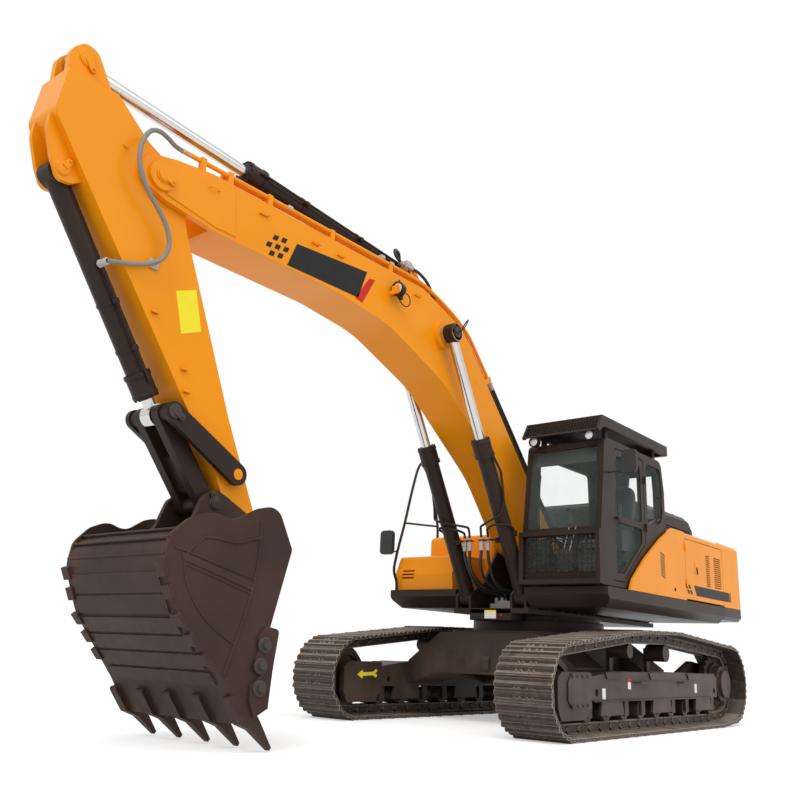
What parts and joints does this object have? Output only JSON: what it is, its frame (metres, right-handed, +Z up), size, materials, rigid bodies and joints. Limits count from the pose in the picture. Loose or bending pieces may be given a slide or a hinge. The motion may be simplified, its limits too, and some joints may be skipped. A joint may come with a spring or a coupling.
{
  "type": "crawler excavator",
  "caption": "Tracked excavator with a swinging house, mesh-guarded cab, boom, arm, bucket linkage and opening doors and hood.",
  "frame": {"origin": "on the ground, under the middle of the overall length", "axes": "+X forward, towards the bucket; +Y to the operator's left; +Z up"},
  "size_m": [10.3127, 3.4675, 5.0095],
  "materials": {
    "body_paint": "gloss orange-yellow enamel",
    "dark_paint": "satin dark brown-grey enamel",
    "cast_weight": "gloss orange-yellow enamel on a casting",
    "track_steel": "worn rolled steel with tan edges",
    "rod_chrome": "polished hard chrome",
    "glazing": "clear, faintly green",
    "seat_cloth": "woven",
    "trim_plastic": "grained",
    "hose_rubber": "sleeved hose",
    "bucket_steel": "satin dark enamel, scuffed",
    "engine_paint": "matt grey"
  },
  "bodies": {
    "undercarriage": {"carbody": "dark_paint", "swing_bearing": "dark_paint", "track_frame_left": "dark_paint", "track_frame_right": "dark_paint", "track_left": "track_steel", "track_right": "track_steel", "idlers": "dark_paint", "sprockets": "dark_paint", "final_drives": "dark_paint", "rollers": "dark_paint"},
    "house": {"main_frame": "dark_paint", "decks": "dark_paint", "counterweight": "cast_weight", "engine": "engine_paint", "left_panels": "body_paint", "right_panels": "body_paint", "tanks": "body_paint", "tool_box": "body_paint", "cab_shell": "dark_paint", "cab_glass": "glazing", "front_guard": "dark_paint", "roof_guard": "dark_paint", "seat": "seat_cloth", "controls": "trim_plastic", "handrails": "dark_paint", "mirrors": "trim_plastic"},
    "cab_door": {"cab_door": "dark_paint", "door_glass": "glazing"},
    "left_door": {"left_door": "body_paint"},
    "right_door": {"right_door": "body_paint"},
    "hood": {"engine_hood": "dark_paint"},
    "boom": {"boom": "body_paint", "boom_pipes": "body_paint", "arm_hose": "hose_rubber"},
    "boom_barrel": {"boom_barrel": "dark_paint"},
    "boom_rod": {"boom_rod": "rod_chrome"},
    "arm": {"arm": "body_paint"},
    "arm_barrel": {"arm_barrel": "dark_paint"},
    "arm_rod": {"arm_rod": "rod_chrome"},
    "bucket_barrel": {"bucket_barrel": "dark_paint"},
    "bucket_rod": {"bucket_rod": "rod_chrome"},
    "rocker": {"rocker_links": "dark_paint"},
    "link": {"bucket_link": "dark_paint"},
    "bucket": {"bucket": "bucket_steel", "bucket_teeth": "bucket_steel"}
  },
  "joints": [
    {"name": "swing", "type": "hinge", "parent": "undercarriage", "child": "house", "pos_m": [-1.88, 0, 0], "axis": [0, 0, 1], "continuous": true},
    {"name": "boom_lift", "type": "hinge", "parent": "house", "child": "boom", "pos_m": [-1.73, 0, 1.98], "axis": [0, 1, 0], "range_deg": [-34, 68]},
    {"name": "arm_swing", "type": "hinge", "parent": "boom", "child": "arm", "pos_m": [4.24, 0, 4.19], "axis": [0, -1, 0], "range_deg": [-15, 95], "deforming": ["arm_hose"]},
    {"name": "bucket_curl", "type": "hinge", "parent": "arm", "child": "bucket", "pos_m": [3.05, 0, 1.57], "axis": [0, -1, 0], "range_deg": [-150, 6]},
    {"name": "boom_barrel_pivot", "type": "hinge", "parent": "house", "child": "boom_barrel", "pos_m": [-0.93, 0, 1.36], "axis": [0, -1, 0], "range_deg": [-72.4, 36.7]},
    {"name": "boom_rod_slide", "type": "slide", "parent": "boom_barrel", "child": "boom_rod", "axis": [0.4873, 0, 0.8732], "range_m": [-1.0046, 0.5048]},
    {"name": "arm_barrel_pivot", "type": "hinge", "parent": "boom", "child": "arm_barrel", "pos_m": [1.02, 0, 4.65], "axis": [0, -1, 0], "range_deg": [-1.66, 5.18]},
    {"name": "arm_rod_slide", "type": "slide", "parent": "arm_barrel", "child": "arm_rod", "axis": [0.9981, 0, 0.0614], "range_m": [-1.4205, 0.2285]},
    {"name": "bucket_barrel_pivot", "type": "hinge", "parent": "arm", "child": "bucket_barrel", "pos_m": [4.97, 0, 3.94], "axis": [0, -1, 0], "range_deg": [-1.34, 9.4]},
    {"name": "bucket_rod_slide", "type": "slide", "parent": "bucket_barrel", "child": "bucket_rod", "axis": [-0.5728, 0, -0.8197], "range_m": [-0.0443, 0.9875]},
    {"name": "rocker_pivot", "type": "hinge", "parent": "arm", "child": "rocker", "pos_m": [3.22, 0, 2.02], "axis": [0, -1, 0], "range_deg": [-89.5, 4.54]},
    {"name": "link_pivot", "type": "hinge", "parent": "bucket", "child": "link", "pos_m": [3.4, 0, 1.765], "axis": [0, -1, 0], "range_deg": [-5.45, 112.3]},
    {"name": "cab_door_hinge", "type": "hinge", "parent": "house", "child": "cab_door", "pos_m": [-1.81, 1.464, 0], "axis": [0, 0, 1], "range_deg": [0, 100]},
    {"name": "left_door_hinge", "type": "hinge", "parent": "house", "child": "left_door", "pos_m": [-2.856, 1.5, 0], "axis": [0, 0, -1], "range_deg": [0, 100]},
    {"name": "right_door_hinge", "type": "hinge", "parent": "house", "child": "right_door", "pos_m": [-3.221, -1.5, 0], "axis": [0, 0, 1], "range_deg": [0, 100]},
    {"name": "hood_hinge", "type": "hinge", "parent": "house", "child": "hood", "pos_m": [-4.52, 0, 2.33], "axis": [0, -1, 0], "range_deg": [0, 55]}
  ],
  "couplings": [
    {"joint": "boom_barrel_pivot", "follows": "boom_lift", "ratio": -1.05},
    {"joint": "boom_rod_slide", "follows": "boom_lift", "m_per_rad": -0.84225},
    {"joint": "arm_barrel_pivot", "follows": "arm_swing", "ratio": 0.044},
    {"joint": "arm_rod_slide", "follows": "arm_swing", "m_per_rad": -0.85371},
    {"joint": "bucket_barrel_pivot", "follows": "bucket_curl", "ratio": -0.056},
    {"joint": "bucket_rod_slide", "follows": "bucket_curl", "m_per_rad": -0.37529},
    {"joint": "rocker_pivot", "follows": "bucket_curl", "ratio": 0.59},
    {"joint": "link_pivot", "follows": "bucket_curl", "ratio": -0.742}
  ]
}
